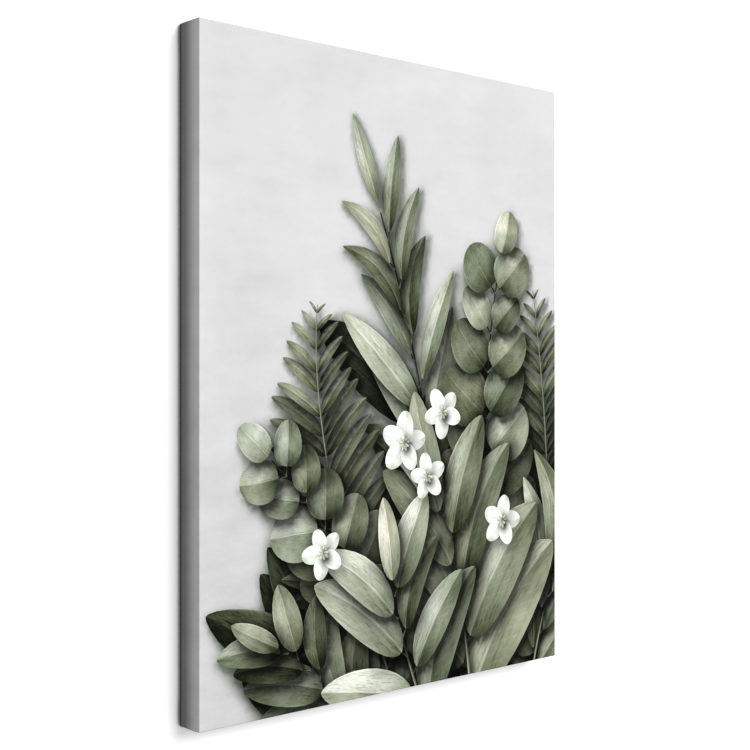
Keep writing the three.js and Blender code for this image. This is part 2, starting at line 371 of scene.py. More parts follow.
def printed(name, colour_of):
    """A printed finish: its ink, darkened by the picture's drawn shadows and by the painted shade on the
    sides, on woven cloth.
    """
    ink = Finish(name)
    light = ink.attribute("light", "Fac")
    (wrapped,) = ink.use(painted_side_shade, ["Colour"], Colour=colour_of(ink), Light=light)
    colour, rough, normal = ink.use(woven_cloth, WOVEN, Colour=wrapped, Relief=0.7)
    print("ink", name)
    return ink.set(Base_Color=colour, Roughness=rough, Normal=normal, Specular_IOR_Level=0.04)

# %% Plaster ground
FOLD_HIGHLIGHT = (0.0065, 0.0030)  # from the left fold: where the painted highlight on the fold begins and where it is brightest
LIGHT_BAND = 0.035  # width of the band of painted light along the left fold


def plaster(ink):
    """Clouds, patches, brush strokes and grains, with painted shade deeper downwards and painted light at
    the left fold.
    """
    place, light = ink.place(), ink.attribute("light", "Fac")
    x, y, z = ink.split(place)
    clouds = ink.noise(place, 2.6, 3.0, 0.55)
    patches = ink.noise(ink.stretch(place, (1, 1, 1.7)), 11.0, 5.0, 0.6)
    grains = ink.noise(place, 190.0, 3.0, 0.7)
    strokes = ink.noise(ink.stretch(place, (16, 16, 60), (0, 0.5, 0)), 1.0, 4.0, 0.6)
    down = z.smooth(MIDDLE_Z + HALF[1], MIDDLE_Z - HALF[1])
    mottle = (clouds - 0.5) * 0.09 + (patches - 0.5) * 0.11
    mottle = mottle + (grains - 0.5) * 0.03 + (strokes - 0.5) * 0.05
    # painted highlight where the left fold catches the light, broken up by the patches
    fold_highlight = x.smooth(FOLD_HIGHLIGHT[0] - HALF[0], FOLD_HIGHLIGHT[1] - HALF[0]) * patches
    # painted light: a paler band along the left fold, plus the fold's painted highlight
    painted_light = x.smooth(LIGHT_BAND - HALF[0], -HALF[0]) * 0.020 + fold_highlight * 0.030
    # painted shade: the grey darkens towards the bottom, away from the light above, with a lighter middle
    shade = 0.564 - down * 0.060 + down * (1.0 - down) * 0.09 + painted_light + mottle * (1.0 + down * 0.8)
    shaded = ink.mix(light, (0.84, 0.88, 0.78), (0.997, 1.0, 0.998))
    return ink.mix(1.0, shaded, ink.vector(shade, shade, shade), "MULTIPLY")


ground_ink = printed("print_ground", plaster)

# %% Leaf ink
SKEW = 0.85  # moves a blade's widest place towards its base
GREENS = [  # from a leaf's deepest shade to its brightest light
    (0.00, (0.004, 0.006, 0.003)),
    (0.14, (0.021, 0.027, 0.014)),
    (0.28, (0.067, 0.078, 0.046)),
    (0.42, (0.146, 0.161, 0.108)),
    (0.56, (0.258, 0.279, 0.208)),
    (0.70, (0.392, 0.411, 0.333)),
    (0.86, (0.620, 0.630, 0.560)),
    (1.00, (0.860, 0.860, 0.830)),
]


def leaf_green(ink):
    """A blade's rib, veins, rim and fine lines, and the light on its two halves."""
    along, across, bend = ink.split(ink.attribute("leaf"))
    half, power, tone = ink.split(ink.attribute("form"))
    tilt = ink.attribute("tilt", "Fac")  # 1 where the left half faces the light, -1 where the right does
    skewed = along.at_least(0.0).at_most(1.0) ** SKEW
    width = (half * (4.0 * skewed * (1.0 - skewed)) ** power).at_least(0.004)
    from_rib = across - bend * 4.0 * along * (1.0 - along)
    out = from_rib / width  # -1 and 1 on the blade's two edges, 0 on its rib
    far = abs(out)
    cloud = ink.noise(ink.vector(along * 3.2, out * 1.3, tone * 71.0), 1.4, 3.0, 0.5)
    lines = ink.noise(ink.vector(along * 6.5, from_rib * 62.0 + cloud * 1.5, tone * 53.0), 1.0, 4.0, 0.62)
    ridge = (1.0 - abs(lines - 0.5) * 7.0).at_least(0.0)
    pores = ink.noise(ink.vector(along * 60.0, from_rib * 110.0, tone * 29.0), 1.0, 3.0, 0.7)
    lit_half = 0.5 + (out.smooth(-0.12, 0.12) - 0.5) * tilt
    swell = (1.0 - abs(far - 0.5) * 2.1).at_least(0.0)
    veins = ((along * 13.0 - far * half * 13.0 + cloud * 0.5) * math.tau).sine()
    vein = veins.smooth(0.72, 1.0) * far.smooth(1.0, 0.55) * far.smooth(0.0, 0.12)
    rib = abs(from_rib).smooth(0.011, 0.004) * along.smooth(1.0, 0.75)
    rim = far.smooth(0.86, 0.97) * along.smooth(0.02, 0.2)
    crest = 0.30 + ink.noise(ink.vector(tone * 97.0, 0.5, 0.5), 1.0, 1.0) * 0.55
    arch = abs(along - crest)  # a blade is brightest where it arches towards the light
    value = tone + (lit_half - 0.5) * 0.19 + swell * (0.01 + lit_half * 0.05)
    value = value + arch.smooth(0.34, 0.0) * 0.12 - arch.smooth(0.26, 0.75) * 0.16
    value = value + (cloud - 0.5) * 0.30 + (lines - 0.5) * 0.28 + (pores - 0.5) * 0.16
    value = value + ridge * (0.05 + lit_half * 0.10) - along.smooth(0.35, 0.0) * 0.10
    value = value + vein * 0.03 + rib * 0.14 + rim * (0.02 + lit_half * 0.12)
    hue = ink.noise(ink.vector(tone * 210.0, along * 0.8, 0.5), 1.0, 1.0).smooth(0.3, 0.7)
    tint = ink.mix(hue, (0.94, 1.0, 0.97), (1.02, 1.0, 0.91))
    return ink.mix(1.0, ink.ramp(value, GREENS), tint, "MULTIPLY")


leaf_ink = printed("print_leaf", leaf_green)

# %% Stem ink
TWIGS = [
    (0.00, (0.020, 0.024, 0.014)),
    (0.35, (0.105, 0.118, 0.068)),
    (0.70, (0.300, 0.315, 0.210)),
    (1.00, (0.520, 0.525, 0.400)),
]


def twig_green(ink):
    """A round stem, lit from one side, with fine speckles."""
    along, out, tone = ink.split(ink.attribute("leaf"))
    round_light = (out - 0.15).smooth(-1.1, 0.4) * out.smooth(1.25, 0.5)
    speckle = ink.noise(ink.vector(along * 60.0, out * 1.5, tone * 31.0), 1.0, 3.0, 0.6)
    return ink.ramp(tone * (0.25 + round_light) + (speckle - 0.5) * 0.22, TWIGS)


stem_ink = printed("print_stem", twig_green)

# %% [markdown]
# The cloth shows unprinted too: white primer on the turned-over strip, and raw, yellowish weave on the
# inside of the frame. Both share the print's weave, with more relief where no ink fills it.

# %% Unprinted cloth
def bare_cloth(name, colour, dirt, relief):
    """Cotton without print: white primer on the outside, raw weave on the inside."""
    cloth = Finish(name)
    place = cloth.place()
    stain = cloth.noise(place, 7.0, 4.0, 0.6)
    fluff = cloth.noise(place, 90.0, 3.0, 0.6)
    tint = cloth.mix((stain - 0.35) * 0.8 + (fluff - 0.5) * 0.4, colour, dirt)
    colour, rough, normal = cloth.use(woven_cloth, WOVEN, Colour=tint, Relief=relief)
    cloth.set(Base_Color=colour, Roughness=rough, Normal=normal)
    return cloth.set(Specular_IOR_Level=0.2, Sheen_Weight=0.08, Sheen_Roughness=0.5)


primed_cloth = bare_cloth("primed_cloth", (0.80, 0.80, 0.785), (0.70, 0.69, 0.66), 1.2)
raw_cloth = bare_cloth("raw_cloth", (0.71, 0.67, 0.575), (0.59, 0.545, 0.45), 2.0)
CLOTH_FINISHES = [ground_ink, leaf_ink, stem_ink, primed_cloth, raw_cloth]
GROUND, LEAF, STEM, PRIMED, RAW = range(len(CLOTH_FINISHES))
print("cloth finishes:", ", ".join(material.name for material in CLOTH_FINISHES))

# %% [markdown]
# ## Folding the sheet
#
# Stretching a canvas is a fold along four lines. A cloth simulation could pull the sheet tight, but
# taut cloth has no slack to drape, so the sheet is cut flat and then folded by arithmetic. `fold`
# takes how far a point lies beyond the flat face and gives its place in the section round the frame:
# over the front edge, down the side, over the back edge and in along the flap.

# %% Fold a point round the frame
ARC, BACK_ARC = math.pi / 2 * FOLD, math.pi / 2 * BACK_FOLD
SIDE = DEPTH - FOLD - BACK_FOLD
BACK_START = ARC + SIDE + BACK_ARC  # cloth beyond the flat face before it lies flat on the back
REACH = BACK_START + FLAP - BACK_FOLD  # all the cloth beyond the flat face
PRINT_END = BACK_START + 0.004  # the print stops a little way onto the back
SHEET = 2 * (HALF - FOLD + REACH)


def fold(beyond):
    """Inset from the outside, depth behind the face, and the outward normal's two parts."""
    e = np.asarray(beyond, float)
    first = np.clip(e / FOLD, 0, math.pi / 2)
    second = np.clip((e - ARC - SIDE) / BACK_FOLD, 0, math.pi / 2)
    straight, flap = np.clip(e - ARC, 0, SIDE), np.clip(e - BACK_START, 0, None)
    inset = FOLD * (1 - np.sin(first)) + BACK_FOLD * (1 - np.cos(second)) + flap + np.clip(-e, 0, None)
    depth = FOLD * (1 - np.cos(first)) + straight + BACK_FOLD * np.sin(second)
    out = np.sin(first) * np.cos(second)
    back = np.sin(second) - np.cos(first)
    return inset, depth, out, back


print("the sheet is cut to", SHEET.round(4), "m, with", round(REACH, 4), "m beyond the face")

# %% [markdown]
# At each corner the spare cloth is folded in under the flap. That leaves a raised pad on the back with
# a crease along its diagonal, and a tucked layer on the top or bottom side, slanting away from the
# corner. Soft steps raise the skin there by about a millimetre.

# %% Folded layers at the corners
PAD = 0.0012  # extra height of the layers on the back
CREASE = 0.0011  # depth of the crease along the pad's diagonal
TUCKED = 0.0008  # extra height of the layer on the top and bottom sides
PAD_START = (0.0006, 0.0024)  # the pad rises over this distance from the frame's side
PAD_END = (0.0283, 0.0272)  # and ends over this one, at the flaps' raw edges


def soft_step(value, start, end):
    """0 at start and 1 at end, with a soft step between them."""
    t = np.clip((value - start) / (end - start), 0, 1)
    return t * t * (3 - 2 * t)


def layers(inset_x, inset_z, depth):
    """How far the folded layers at the corners lift the outer skin."""
    on_back = soft_step(depth, DEPTH - 0.0009, DEPTH - 0.0001)
    pad = soft_step(inset_x, *PAD_START) * soft_step(inset_z, *PAD_START)
    pad = pad * soft_step(inset_x, *PAD_END) * soft_step(inset_z, *PAD_END)
    diagonal = soft_step(np.abs(inset_x - inset_z), 0.0012, 0.0)
    crease = diagonal * soft_step(inset_x + inset_z, 0.003, 0.010)
    back = PAD * pad - CREASE * pad * crease
    edge = soft_step(inset_x, 0.0012, 0.0018)
    slant = soft_step(inset_x - depth, 0.0055, 0.0005)
    near_side = soft_step(depth, 0.003, 0.010) * soft_step(inset_z, 0.004, 0.001)
    side = TUCKED * edge * slant * near_side
    return back * on_back + side * (1 - on_back)


pad_heights = layers(np.array([0.010, 0.010]), np.array([0.020, 0.010]), np.array([DEPTH, DEPTH]))
print("the pad is", pad_heights.round(5), "m high, beside and on its crease")

# %% Fold the whole sheet
RAW_EDGE = [(0.0005, 310, 270), (0.0004, 911, -733)]  # its two waves: height, and how fast along a and b


def folded(points, thickness=0.0):
    """Places of flat points on the frame; a thickness above 0 gives the inner skin."""
    a, b = points[:, 0], points[:, 1]
    beyond = np.abs(points) - (HALF - FOLD)
    along_x = (beyond[:, 0] > 0) & (beyond[:, 0] >= beyond[:, 1])
    along_z = (beyond[:, 1] > 0) & ~along_x
    inset, depth, out, back = fold(np.where(along_x, beyond[:, 0], np.where(along_z, beyond[:, 1], -1e-9)))
    x, z = np.abs(a), np.abs(b)
    x, z = np.where(along_x, HALF[0] - inset, x), np.where(along_z, HALF[1] - inset, z)
    lift = layers(HALF[0] - x, HALF[1] - z, depth) if thickness == 0 else -thickness
    ragged = sum(height * np.sin(a * fast_a + b * fast_b) for height, fast_a, fast_b in RAW_EDGE)
    to_flank = np.where(along_x, HALF[1] - z, np.where(along_z, HALF[0] - x, 1)) - inset
    pull = ragged * soft_step(inset, FLAP - 0.003, FLAP) * soft_step(to_flank, 0, 0.004)
    beside = soft_step(to_flank, 0.002, 0)  # 1 where two arms of the cross meet
    x = x + out * lift * np.where(along_x, 1, np.where(along_z, beside, 0)) - np.where(along_x, pull, 0)
    z = z + out * lift * np.where(along_z, 1, np.where(along_x, beside, 0)) - np.where(along_z, pull, 0)
    radius = CORNER - thickness  # the four corners are rounded off from the face to the back
    dx, dz = x - (HALF[0] - thickness - radius), z - (HALF[1] - thickness - radius)
    corner = (dx > 0) & (dz > 0)
    scale = np.where(corner, np.maximum(dx, dz) / np.maximum(np.hypot(dx, dz), 1e-9), 1)
    x = np.where(corner, x - dx + dx * scale, x)
    z = np.where(corner, z - dz + dz * scale, z)
    y = FACE_Y + depth + back * lift
    return np.column_stack([np.copysign(x, a), y, np.copysign(z, b) + MIDDLE_Z])


raw_edge_point = folded(np.array([[0.0, SHEET[1] / 2]]))[0]
print("the middle of the upper raw edge comes to", raw_edge_point.round(4))

# %% [markdown]
# ## Drawing the picture
#
# The picture is a spray of leafy branches that rises from the foot of the sheet: narrow willow
# leaves, round penny leaves, broad sage leaves, fern fronds and a few pale blossoms. Real leaves could
# be modelled and laid on the cloth, but a print has no height. So each shape is an outline on the flat
# sheet plus the few numbers that its ink needs. Later shapes lie on earlier ones.

# %% A leaf on the flat sheet
LIGHT_FROM = np.array([-0.62, 0.78])  # the light in the picture comes from its upper left


def toward(angle):
    """The step of length 1 in this direction."""
    return np.array([math.cos(angle), math.sin(angle)])


class Leaf:
    """A blade. Its half width and bend are shares of its length, and its tone goes from 0 to 1."""

    material = LEAF

    def __init__(self, base, angle, length, half, power, bend, tone):
        self.base, self.length = np.array(base, float), length
        self.ahead = toward(angle)
        self.left = np.array([-self.ahead[1], self.ahead[0]])
        self.half, self.power, self.bend, self.tone = half, power, bend, tone
        self.tilt = max(-1.0, min(1.0, 1.4 * float(self.left @ LIGHT_FROM)))

    def width(self, along):
        t = np.clip(along, 0, 1) ** SKEW
        return self.half * (4 * t * (1 - t)) ** self.power

    def outline(self, steps=13):
        along = (1 - np.cos(np.linspace(0, math.pi, steps + 1))) / 2
        rib, width = self.bend * 4 * along * (1 - along), self.width(along)
        lower = np.column_stack([along, rib - width])
        upper = np.column_stack([along, rib + width])[-2:0:-1]
        local = np.vstack([lower, upper]) * self.length
        return self.base + local[:, :1] * self.ahead + local[:, 1:] * self.left

    def local(self, points):
        away = (points - self.base) / self.length
        return away @ self.ahead, away @ self.left

    def distance(self, points):
        along, across = self.local(points)
        held = np.clip(along, 0, 1)
        aside = np.maximum(np.abs(across - self.bend * 4 * held * (1 - held)) - self.width(held), 0)
        return np.hypot(aside, along - held) * self.length

    def values(self, points):
        along, across = self.local(points)
        rest = np.ones(len(points))
        leaf = np.column_stack([along, across, self.bend * rest])
        form = np.column_stack([self.half * rest, self.power * rest, self.tone * rest])
        return leaf, form, self.tilt


sample = Leaf((0, 0), 0.0, 0.1, 0.2, 0.66, 0.0, 0.5)
print("a leaf of 0.1 m is", round(2 * sample.width(0.5) * sample.length, 4), "m wide in its middle")

# %% A stem on the flat sheet
class Stem:
    """A band along a line, thick at its foot and thin at its tip."""

    material = STEM

    def __init__(self, line, thick, thin, tone):
        self.line, self.tone = np.array(line, float), tone
        self.widths = np.linspace(thick, thin, len(self.line)) / 2

    def outline(self):
        ahead = np.gradient(self.line, axis=0)
        ahead /= np.linalg.norm(ahead, axis=1)[:, None]
        left = np.column_stack([-ahead[:, 1], ahead[:, 0]]) * self.widths[:, None]
        return np.vstack([self.line - left, (self.line + left)[::-1]])

    def nearest(self, points):
        start, step = self.line[:-1], np.diff(self.line, axis=0)
        away = points[:, None] - start
        t = np.clip((away * step).sum(2) / (step * step).sum(1), 0, 1)
        off = away - t[..., None] * step
        far = np.hypot(off[..., 0], off[..., 1])
        i = far.argmin(1)
        rows = np.arange(len(points))
        side = np.sign(step[i, 0] * off[rows, i, 1] - step[i, 1] * off[rows, i, 0])
        return (i + t[rows, i]) / len(step), far[rows, i], side

    def width(self, along):
        return np.interp(along, np.linspace(0, 1, len(self.widths)), self.widths)

    def distance(self, points):
        along, far, _ = self.nearest(points)
        return np.maximum(far - self.width(along), 0)

    def values(self, points):
        along, far, side = self.nearest(points)
        out = np.clip(side * far / self.width(along), -1, 1)
        leaf = np.column_stack([along, out, self.tone * np.ones(len(points))])
        return leaf, np.zeros((len(points), 3)), 0.0


def curve(controls, count):
    """Points along a smooth line through the four controls of a Bezier curve, given in millimetres."""
    p = np.array(controls, float) / 1000
    t = np.linspace(0, 1, count)[:, None]
    return (1 - t) ** 3 * p[0] + 3 * t * (1 - t) ** 2 * p[1] + 3 * t * t * (1 - t) * p[2] + t ** 3 * p[3]


sample = Stem([(0, 0), (0.1, 0)], 0.004, 0.002, 0.5)
print("a stem of 4 and 2 mm is", round(2 * sample.width(0.5), 4), "m wide in its middle")

# %% A sprig: leaves along a branch
rng = random.Random(11)
shapes = []  # every shape with its depth in the picture
LAYER = 0.001  # from one shape of a branch to the next one above it
WILLOW, PENNY, SAGE = 0.80, 0.50, 0.66  # powers of the outlines: a low one makes a round leaf
STALK = {"length": 0.012, "foot": 0.0026, "tip": 0.0020, "tone": 0.55}
PALEST_LEAF = 0.57


def vary(value, share):
    """The value, changed at random by up to this share of it."""
    return value * (1 + rng.uniform(-share, share))


def heading(line, k):
    """The direction of a line at its point k, as an angle."""
    step = line[k + 1] - line[k]
    return math.atan2(step[1], step[0])


def lay(found, depth):
    """Add shapes to the picture, each a little above the one before."""
    shapes.extend((depth + LAYER * i, shape) for i, shape in enumerate(found))


def sprig(controls, depth, leaves, length, half, power, tone, spread, paired=False, thick=0.0042):
    """A branch with leaves on alternate sides, or in pairs, that get shorter towards its tip."""
    line = curve(controls, 60)
    found = []
    for i in range(leaves):
        at = 0.10 + 0.88 * (i + 0.5) / leaves
        k = int(at * (len(line) - 2))
        sides = (1, -1) if paired else (1,) if i % 2 else (-1,)
        for side in sides:
            angle = heading(line, k) + side * vary(spread * (1 - 0.35 * at), 0.22)
            size = vary(length * (1 - 0.42 * at ** 2), 0.14)
            foot = line[k] + STALK["length"] * toward(angle)
            shade = min(tone + rng.uniform(-0.20, 0.17), PALEST_LEAF)
            bend = rng.uniform(-0.03, 0.03) if power == PENNY else -side * rng.uniform(0.0, 0.15)
            stalk = [line[k], (line[k] + foot) / 2, foot + 0.05 * (foot - line[k])]
            found.append(Stem(stalk, STALK["foot"], STALK["tip"], STALK["tone"]))
            found.append(Leaf(foot, angle, size, vary(half, 0.15), power, bend, shade))
    bend = rng.uniform(-0.05, 0.05)
    end = heading(line, len(line) - 2)
    found.append(Leaf(line[-1], end, length * 0.6, half * 0.85, power, bend, tone + 0.05))
    main = Stem(line[::2], thick, thick * 0.45, 0.62)
    third = len(found) // 3
    lay(found[:third] + [main] + found[third:], depth)


print("sprigs hold willow, penny or sage leaves, with powers", (WILLOW, PENNY, SAGE))

# %% A fern frond and a blossom
FROND = {"half": 0.115, "power": 0.62, "bend": 0.05}
PETAL = {"half": 0.37, "power": 0.5, "bend": 0.0, "tone": 0.92}
TUFT = {"half": 0.2, "power": 0.5, "bend": 0.0, "tone": 0.58}


def fern(controls, depth, pairs, length, tone):
    """A frond: pairs of narrow leaflets, longest a third of the way up."""
    line = curve(controls, 90)
    found = []
    for i in range(pairs):
        at = (i + 0.5) / pairs
        k = int(at * (len(line) - 2))
        size = length * math.sin(math.pi * (0.16 + 0.84 * at) ** 0.8) ** 0.8 + 0.008
        for side in (1, -1):
            angle = heading(line, k) + side * vary(1.12 - 0.35 * at, 0.05)
            blade = vary(size, 0.06)
            shade = tone + rng.uniform(-0.05, 0.05)
            bend = -side * FROND["bend"]
            found.append(Leaf(line[k], angle, blade, FROND["half"], FROND["power"], bend, shade))
    found.append(Stem(line[::3], 0.0036, 0.0012, 0.6))
    lay(found, depth)


def blossom(x, z, petal, turn):
    """Five pale petals round a small tuft."""
    centre = np.array([x, z]) / 1000
    petals, tuft = [], []
    for i in range(5):
        angle = turn + math.tau * i / 5 + rng.uniform(-0.08, 0.08)
        petals.append(Leaf(centre + 0.0022 * toward(angle), angle, vary(petal, 0.07), **PETAL))
    for i in range(9):
        tuft.append(Leaf(centre, turn + math.tau * i / 9, vary(0.009, 0.2), **TUFT))
    depth = 7.0 + x / 1000  # in front of everything else
    lay(petals, depth)
    lay(tuft, depth + 0.01)


print("a petal is", 2 * PETAL["half"], "and a leaflet", 2 * FROND["half"], "of its length wide")

# %% The dark thicket at the back
for i in range(54):
    x, z = rng.gauss(105, 105), -455 + abs(rng.gauss(0, 115))  # in millimetres, round the spray's foot
    if -225 < x < 300:
        lean = (105 - x) / 260 + math.pi / 2 + rng.uniform(-0.7, 0.7)
        length, half = vary(0.185, 0.2), vary(0.17, 0.2)
        bend, tone = rng.uniform(-0.08, 0.08), rng.uniform(0.0, 0.13)
        shapes.append((0.1 + LAYER * i, Leaf((x / 1000, z / 1000), lean, length, half, 0.7, bend, tone)))
print(len(shapes), "dark leaves at the back")

# %% The branches and blossoms in front
sprig([(95, -470), (85, -230), (55, -20), (-35, 215)], depth=1.0, leaves=19, length=0.190,
      half=0.128, power=WILLOW, tone=0.42, spread=0.72, thick=0.0055)
sprig([(205, -470), (175, -230), (130, -60), (190, 165)], depth=2.0, leaves=10, length=0.100,
      half=0.43, power=PENNY, tone=0.46, spread=1.10, paired=True)
fern([(-20, -470), (-75, -250), (-150, -60), (-130, 95)], depth=1.5, pairs=20, length=0.112, tone=0.34)
fern([(262, -470), (300, -260), (285, -60), (250, 130)], depth=1.7, pairs=21, length=0.118, tone=0.30)
sprig([(10, -470), (-20, -330), (-95, -190), (-205, -95)], depth=3.0, leaves=9, length=0.090,
      half=0.44, power=PENNY, tone=0.50, spread=1.10, paired=True)
sprig([(240, -470), (262, -350), (300, -250), (365, -190)], depth=3.5, leaves=10, length=0.190,
      half=0.130, power=WILLOW, tone=0.46, spread=0.75)
sprig([(-40, -470), (-90, -400), (-140, -345), (-190, -320)], depth=4.0, leaves=8, length=0.125,
      half=0.22, power=SAGE, tone=0.36, spread=0.85)
sprig([(135, -470), (125, -360), (110, -270), (70, -150)], depth=5.0, leaves=8, length=0.225,
      half=0.195, power=SAGE, tone=0.46, spread=0.80, thick=0.006)
sprig([(60, -470), (30, -400), (0, -330), (-10, -260)], depth=6.0, leaves=7, length=0.178,
      half=0.19, power=SAGE, tone=0.54, spread=0.95, thick=0.005)
blossom(10, -88, petal=0.037, turn=0.2)
blossom(78, -50, petal=0.032, turn=0.9)
blossom(50, -132, petal=0.029, turn=0.5)
blossom(190, -200, petal=0.034, turn=0.1)
blossom(-122, -215, petal=0.030, turn=0.7)
shapes = [shape for _, shape in sorted(shapes, key=lambda item: item[0])]
print(len(shapes), "drawn shapes")

# %% [markdown]
# ## Cutting the sheet into the picture's regions
#
# A constrained Delaunay triangulation cuts the flat sheet along every outline and fold line at once.
# A knife tool could cut one outline after another, but that is slow and leaves slivers. The cut gives
# sharp outlines without an image, and a mesh that can still be folded. A ray then finds the top shape
# over each triangle. The sheet is a cross: the corner squares are where the folds tuck in.

# %% Lines across the arms of the cross
def distinct(*parts):
    """The given distances in order, each once."""
    return np.unique(np.round(np.concatenate(parts), 9))


FRONT_LEVELS, SIDE_LEVELS = np.linspace(0, ARC, 5), np.linspace(ARC, ARC + SIDE, 10)
BACK_LEVELS, FLAP_LEVELS = np.linspace(ARC + SIDE, BACK_START, 5), np.linspace(PRINT_END, REACH, 6)
LEVELS = distinct(FRONT_LEVELS, SIDE_LEVELS, BACK_LEVELS, FLAP_LEVELS)
LEVELS_BACK = BACK_START + 0.0015  # cloth beyond this lies on the back, clear of the folded edge
SPACING = 0.0085  # between two points along a fold line, away from the corners
NEAR_CORNER = np.array([0.2, 0.4, 0.8, 1.2, 1.8, 2.4, 3.6, 5.5, 9, 14, 20, 26.2, 27.2, 28.3, 29.5]) / 1000


def stations(half):
    """Places along a side: even in the middle and closer towards its ends."""
    inner = half - NEAR_CORNER.max()
    middle = np.linspace(-inner, inner, round(2 * inner / SPACING))
    return distinct(middle, half - NEAR_CORNER, NEAR_CORNER - half)


print(len(LEVELS), "lines on each arm,", len(stations(HALF[0])), "points along the shorter ones")

# %% Cut the cross along its lines
CORNERS = [(1, 1), (-1, 1), (-1, -1), (1, -1)]  # anticlockwise from the upper right
WELD = 2e-5  # points closer than this are one point
FLANK_GAP = 0.00015  # from the end of a line to the next point on it
CREASE_POINTS = [0.0007, 0.0016]  # from the end of a line on the back, for the corner's crease
CREASE_GAP = 0.0021  # from there to the next point


def cut_sheet(outlines, extra_levels=(), filler=()):
    """Points and triangles of the cross, cut along its fold lines and the outlines."""
    points, edges, index = [], [], {}

    def vertex(a, b):
        key = (round(a, 8), round(b, 8))
        if key not in index:
            index[key] = len(points)
            points.append(Vector(key))
        return index[key]

    levels = distinct(LEVELS, extra_levels)
    ends = [HALF - fold(e)[0] for e in levels]
    rims = {}
    for axis, sign in ((0, 1), (0, -1), (1, 1), (1, -1)):
        for e, end in zip(levels, ends):
            limit, at = end[1 - axis], sign * (HALF[axis] - FOLD + e)
            run = [s for s in stations(HALF[1 - axis]) if abs(s) < limit - FLANK_GAP]
            if e > LEVELS_BACK:
                near = [limit - gap for gap in CREASE_POINTS]
                run = sorted([s for s in run if abs(s) < limit - CREASE_GAP] + near + [-s for s in near])
            run = [-limit, *run, limit]
            ids = [vertex(at, s) if axis == 0 else vertex(s, at) for s in run]
            edges.extend(zip(ids, ids[1:]))
        rims[axis, sign] = ids if (axis == 0) == (sign == 1) else ids[::-1]

    def flank(sx, sz, axis):
        """One side of an arm, from the flat face to the raw edge."""
        if axis == 0:
            return [vertex(sx * (HALF[0] - FOLD + e), sz * end[1]) for e, end in zip(levels, ends)]
        return [vertex(sx * end[0], sz * (HALF[1] - FOLD + e)) for e, end in zip(levels, ends)]

    border = []
    for i, (sx, sz) in enumerate(CORNERS):  # along a raw edge, in along its arm and out along the next
        axis = i % 2
        border += rims[axis, (sx, sz)[axis]][1:]
        border += flank(sx, sz, axis)[-2::-1] + flank(sx, sz, 1 - axis)[1:]
    for outline in outlines:
        ids = [vertex(*p) for p in outline]
        edges.extend((p, q) for p, q in zip(ids, ids[1:] + ids[:1]) if p != q)
    points.extend(Vector(p) for p in filler)
    cut = geometry.delaunay_2d_cdt(points, edges, [border], 0, WELD, True)
    flat, triangles, inside = cut[0], cut[2], cut[5]
    kept = [list(triangle) for triangle, faces in zip(triangles, inside) if faces]
    used, triangles = np.unique(kept, return_inverse=True)
    return np.array(flat)[used], triangles.reshape(-1, 3)


inner_flat, inner_triangles = cut_sheet([])
print("the bare cross has", len(inner_flat), "points and", len(inner_triangles), "triangles")

# %% Which shape a point lies in, and where the print ends
def inside_outline(outline, points):
    """Which points lie inside an outline: a ray to the right crosses it an odd number of times."""
    p, q = outline, np.roll(outline, -1, axis=0)
    x, y = points[:, :1], points[:, 1:]
    level = (p[:, 1] > y) != (q[:, 1] > y)
    rise = np.where(q[:, 1] == p[:, 1], 1, q[:, 1] - p[:, 1])
    crossing = p[:, 0] + (y - p[:, 1]) * (q[:, 0] - p[:, 0]) / rise
    return (level & (x < crossing)).sum(1) % 2 == 1


PRINT_LIMIT = HALF - FOLD + PRINT_END  # where the ink ends, along a and b


def clipped(outline):
    """An outline cut off at the end of the print, on the back of the frame."""
    for axis, sign in ((0, 1), (0, -1), (1, 1), (1, -1)):
        limit, kept = sign * PRINT_LIMIT[axis], []
        for p, q in zip(outline, [*outline[1:], *outline[:1]]):
            inside_p, inside_q = sign * p[axis] <= sign * limit, sign * q[axis] <= sign * limit
            if inside_p:
                kept.append(p)
            if inside_p != inside_q:
                kept.append(p + (limit - p[axis]) / (q[axis] - p[axis]) * (q - p))
        outline = kept
    return outline


drawn = [(shape, clipped(shape.outline())) for shape in shapes]
drawn = [(shape, outline) for shape, outline in drawn if len(outline) > 2]
outlines = [outline for _, outline in drawn]
print(len(drawn), "shapes lie on the printed part of the sheet")

# %% Loose points for even triangles on the face
GRID = 0.0065
filler = []
for i in range(int(2 * HALF[0] / GRID)):
    for j in range(int(2 * HALF[1] / GRID)):
        a = -HALF[0] + (i + 0.5 + rng.uniform(-0.3, 0.3)) * GRID
        b = -HALF[1] + (j + 0.5 + rng.uniform(-0.3, 0.3)) * GRID
        if abs(a) < HALF[0] - 0.004 and abs(b) < HALF[1] - 0.004:
            filler.append((a, b))
print(len(filler), "loose points")

# %% Cut the outer skin
over_corners = [outline for outline in outlines if (np.abs(outline).max(0) > HALF - 2 * FOLD).all()]


def flank_levels(flat):
    """Levels of the points on the cross's flanks, where leaves run over an upright corner."""
    beyond = np.abs(flat) - (HALF - FOLD)
    found = []
    for axis in (0, 1):
        e = beyond[:, axis]
        from_flank = np.abs(np.abs(flat[:, 1 - axis]) - (HALF[1 - axis] - fold(e)[0]))
        found.append(e[(e > 0) & (e < REACH) & (from_flank < 2 * WELD)])
    return np.unique(np.round(np.concatenate(found), 5))


extra_levels = []
for _ in range(3):  # a new level can cut a leaf once more, so it takes a few rounds
    extra_levels = flank_levels(cut_sheet(over_corners, extra_levels)[0])
flat, triangles = cut_sheet(outlines, extra_levels, filler)
print("outer skin:", len(flat), "points,", len(triangles), "triangles")

